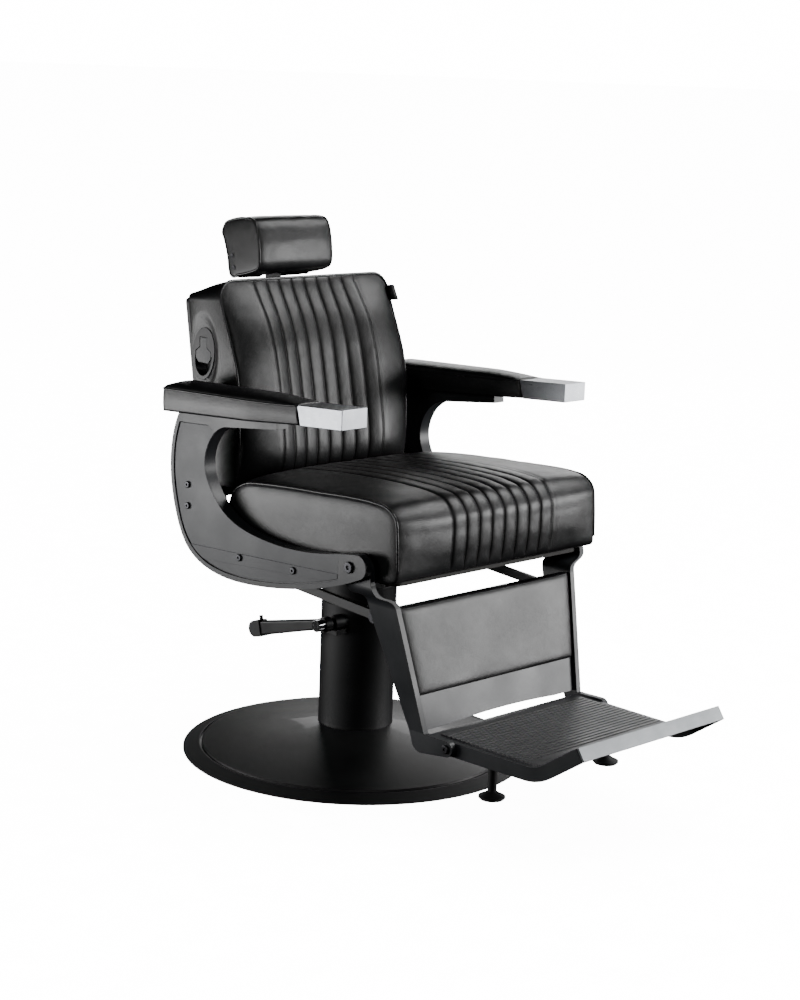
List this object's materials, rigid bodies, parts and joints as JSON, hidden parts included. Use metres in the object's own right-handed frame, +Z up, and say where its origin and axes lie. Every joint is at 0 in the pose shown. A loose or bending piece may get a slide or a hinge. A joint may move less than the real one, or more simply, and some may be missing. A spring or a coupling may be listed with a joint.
{
  "type": "hydraulic barber chair",
  "caption": "Black leather barber chair on a round base: hydraulic lift, swivel, reclining back, sliding headrest, and a footrest that swings out with the back and folds.",
  "frame": {"origin": "on the floor, at the centre of the base under the column", "axes": "+Z up along the column; the sitter faces -Y; the sitter's right hand is at -X"},
  "size_m": [0.6999, 1.121, 1.0644],
  "materials": {
    "black_leather": "satin grained upholstery leather with stitched seams",
    "graphite_casting": "satin graphite powder coat",
    "black_steel": "satin black powder coat",
    "satin_tip": "fine brushed satin metal",
    "satin_lip": "fine brushed satin metal",
    "polished_steel": "polished",
    "machined_steel": "machined",
    "zinc_bolt": "black zinc",
    "black_rubber": "matt moulded rubber",
    "black_plastic": "fine textured moulded plastic",
    "heavy_plate": "painted casting",
    "stained_ply": "black stained plywood",
    "bronze": "sintered bronze"
  },
  "bodies": {
    "base": {"base_rim": "black_rubber", "base_plate": "heavy_plate", "base_cover": "black_steel", "base_bolts": "zinc_bolt", "pump_cylinder": "machined_steel", "pump_gland": "bronze", "column_cover": "black_steel", "pedal_bush": "black_steel", "pedal_spring": "machined_steel"},
    "pedal": {"pedal_shaft": "polished_steel", "pedal_lever": "black_steel", "pedal_grip": "black_rubber"},
    "plunger": {"pump_plunger": "machined_steel"},
    "lift": {"lift_piston": "polished_steel", "column_sleeve": "black_steel", "swivel_bearing": "bronze"},
    "seat": {"seat_mount_plate": "black_steel", "seat_mount_bolts": "zinc_bolt", "seat_rails": "black_steel", "seat_cross_tubes": "black_steel", "seat_board": "stained_ply", "seat_cushion": "black_leather", "side_frame_right": "graphite_casting", "side_frame_left": "graphite_casting", "side_panel_right": "graphite_casting", "side_panel_left": "graphite_casting", "side_screws": "zinc_bolt", "footrest_pivot_pins": "zinc_bolt", "back_brackets": "black_steel", "arm_pad_right": "black_leather", "arm_pad_left": "black_leather", "arm_bars": "black_steel", "arm_tip_right": "satin_tip", "arm_tip_left": "satin_tip", "lock_cylinder": "machined_steel"},
    "back": {"back_cushion": "black_leather", "back_board": "stained_ply", "back_shell": "black_plastic", "headrest_socket": "black_plastic", "recline_bezel": "black_plastic", "back_hinge_bar": "black_steel", "back_cranks": "black_steel"},
    "paddle": {"recline_paddle": "black_plastic"},
    "stem": {"headrest_stem": "black_steel"},
    "headrest": {"headrest_bracket": "black_steel", "headrest_cushion": "black_leather"},
    "footrest": {"footrest_arm_right": "graphite_casting", "footrest_arm_left": "graphite_casting", "calf_panel": "black_steel", "calf_pad": "black_leather", "footrest_cross_rods": "black_steel", "link_pins": "zinc_bolt", "footplate_bolts": "zinc_bolt"},
    "footplate": {"footplate": "graphite_casting", "footplate_lip": "satin_lip", "footplate_mat": "black_rubber", "stop_feet": "black_rubber"},
    "links": {"link_bars": "black_steel"},
    "lock_rod": {"lock_rod": "polished_steel"}
  },
  "joints": [
    {"name": "pedal_press", "type": "hinge", "parent": "base", "child": "pedal", "pos_m": [0, -0.025, 0.285], "axis": [-1, 0, 0], "range_deg": [0, 20], "stiffness_Nm_per_rad": 3, "springref_deg": -28.65},
    {"name": "plunger_slide", "type": "slide", "parent": "base", "child": "plunger", "axis": [0, 0, -1], "range_m": [0, 0.0098], "deforming": ["pedal_spring"]},
    {"name": "seat_lift", "type": "slide", "parent": "base", "child": "lift", "axis": [0, 0, 1], "range_m": [0, 0.16]},
    {"name": "seat_swivel", "type": "hinge", "parent": "lift", "child": "seat", "pos_m": [0, 0, 0.38], "axis": [0, 0, 1], "continuous": true},
    {"name": "recline", "type": "hinge", "parent": "seat", "child": "back", "pos_m": [0, 0.148, 0.478], "axis": [-1, 0, 0], "range_deg": [0, 35]},
    {"name": "footrest_swing", "type": "hinge", "parent": "seat", "child": "footrest", "pos_m": [0, -0.292, 0.48], "axis": [-1, 0, 0], "range_deg": [0, 24]},
    {"name": "link_turn", "type": "hinge", "parent": "footrest", "child": "links", "pos_m": [0, -0.28, 0.372], "axis": [-1, 0, 0], "range_deg": [-24, 0]},
    {"name": "lock_slide", "type": "slide", "parent": "seat", "child": "lock_rod", "axis": [0, -1, 0], "range_m": [0, 0.0455]},
    {"name": "paddle_pull", "type": "hinge", "parent": "back", "child": "paddle", "pos_m": [-0.2285, 0.228, 0.833], "axis": [0, 1, 0], "range_deg": [0, 20], "stiffness_Nm_per_rad": 0.3, "springref_deg": -11.46},
    {"name": "headrest_slide", "type": "slide", "parent": "back", "child": "stem", "axis": [0, 0.1644, 0.9864], "range_m": [0, 0.09]},
    {"name": "headrest_tilt", "type": "hinge", "parent": "stem", "child": "headrest", "pos_m": [0, 0.29156, 0.98537], "axis": [-1, 0, 0], "range_deg": [-15, 30]},
    {"name": "footplate_fold", "type": "hinge", "parent": "footrest", "child": "footplate", "pos_m": [0, -0.465, 0.161], "axis": [-1, 0, 0], "range_deg": [0, 70]}
  ],
  "couplings": [
    {"joint": "plunger_slide", "follows": "pedal_press", "m_per_rad": 0.02758},
    {"joint": "footrest_swing", "follows": "recline", "ratio": 0.6857},
    {"joint": "link_turn", "follows": "recline", "ratio": -0.6693},
    {"joint": "lock_slide", "follows": "recline", "m_per_rad": 0.07376}
  ]
}
